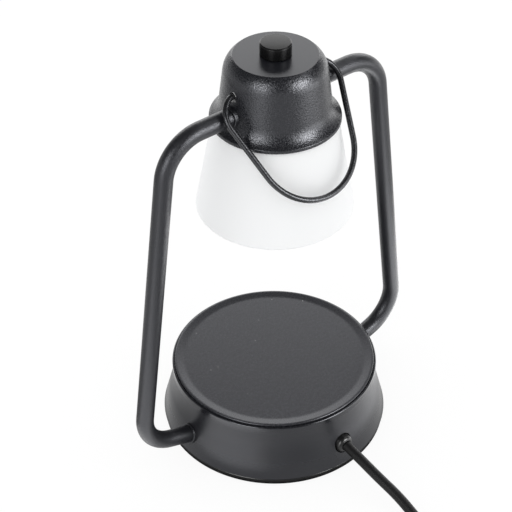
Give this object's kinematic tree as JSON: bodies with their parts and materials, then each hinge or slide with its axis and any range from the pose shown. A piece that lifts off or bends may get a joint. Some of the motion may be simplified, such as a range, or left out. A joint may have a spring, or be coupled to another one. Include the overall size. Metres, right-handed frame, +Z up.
{
  "type": "candle warmer lamp",
  "caption": "Lamp that warms a jar candle from above: round base with a dished plate, side tubes, bell cap with a frosted glass shade, dimmer knob and swinging wire bail.",
  "frame": {"origin": "centre of the base's underside, on the surface the lamp stands on", "axes": "+Z up, +X towards the right side tube, -Y towards the side where the mains lead leaves and the bail rests"},
  "size_m": [0.1972, 0.285, 0.2544],
  "materials": {
    "housing_paint": "dark grey satin enamel on the spun base",
    "plate_paint": "dark grey satin enamel on the warming plate",
    "tube_paint": "dark grey fine-textured powder coat",
    "cap_paint": "dark grey fine-textured powder coat",
    "bail_enamel": "glossy black enamel on wire",
    "knob_plastic": "glossy black plastic",
    "opal_glass": "white frosted glass",
    "foot_rubber": "smooth black rubber",
    "cord_jacket": "smooth black cable jacket",
    "bushing_nylon": "black nylon",
    "silicone": "translucent white silicone",
    "zinc_steel": "bright zinc plate",
    "cover_steel": "black painted sheet steel",
    "iron": "bare cast iron",
    "ceramic": "glazed white ceramic",
    "ring_bakelite": "black moulded ring nut",
    "bulb_ceramic": "white ceramic bulb neck",
    "bulb_glass": "clear pressed glass",
    "bulb_mirror": "aluminised pressed glass",
    "pin_metal": "nickelled brass",
    "board": "green circuit board",
    "component": "moulded electronic component",
    "dimmer_case": "dark moulded dimmer case",
    "wire_insulation": "white silicone insulation",
    "plug_pvc": "moulded black PVC"
  },
  "bodies": {
    "lamp": {"base_housing": "housing_paint", "warming_plate": "plate_paint", "ballast_weight": "iron", "plate_bolt": "zinc_steel", "bottom_cover": "cover_steel", "foot_ring": "foot_rubber", "cover_screws": "zinc_steel", "cord_clamp": "bushing_nylon", "terminal_block": "ceramic", "clamp_screws": "zinc_steel", "cord_bushing": "bushing_nylon", "cord_inner_end": "cord_jacket", "left_tube": "tube_paint", "right_tube": "tube_paint", "base_nipples": "zinc_steel", "head_nipples": "zinc_steel", "base_nuts": "zinc_steel", "base_washers": "zinc_steel", "head_nuts": "zinc_steel", "head_washers": "zinc_steel", "base_ferrules": "tube_paint", "head_ferrules": "tube_paint", "riser_cable": "wire_insulation", "cap_shell": "cap_paint", "lampholder_carrier": "cover_steel", "carrier_screws": "zinc_steel", "lampholder": "ceramic", "lampholder_screws": "zinc_steel", "lampholder_leads": "wire_insulation", "shade": "opal_glass", "shade_gasket": "silicone", "shade_ring": "ring_bakelite", "bulb_base": "bulb_ceramic", "bulb_pins": "pin_metal", "bulb_reflector": "bulb_mirror", "bulb_lens": "bulb_glass", "bulb_capsule": "bulb_glass", "dimmer_body": "dimmer_case", "dimmer_nut": "zinc_steel", "dimmer_board": "board", "dimmer_choke": "component", "dimmer_capacitor": "component", "power_cord": "cord_jacket", "power_cord_coil": "cord_jacket", "cord_tail": "cord_jacket", "plug_body": "plug_pvc", "plug_blades": "pin_metal"},
    "knob": {"knob": "knob_plastic", "dimmer_shaft": "zinc_steel"},
    "bail": {"bail_handle": "bail_enamel"}
  },
  "joints": [
    {"name": "knob_turn", "type": "hinge", "parent": "lamp", "child": "knob", "pos_m": [0, 0, 0.2475], "axis": [0, 0, -1], "range_deg": [0, 270]},
    {"name": "bail_swing", "type": "hinge", "parent": "lamp", "child": "bail", "pos_m": [0, 0, 0.2329], "axis": [-1, 0, 0], "range_deg": [0, 278]}
  ]
}
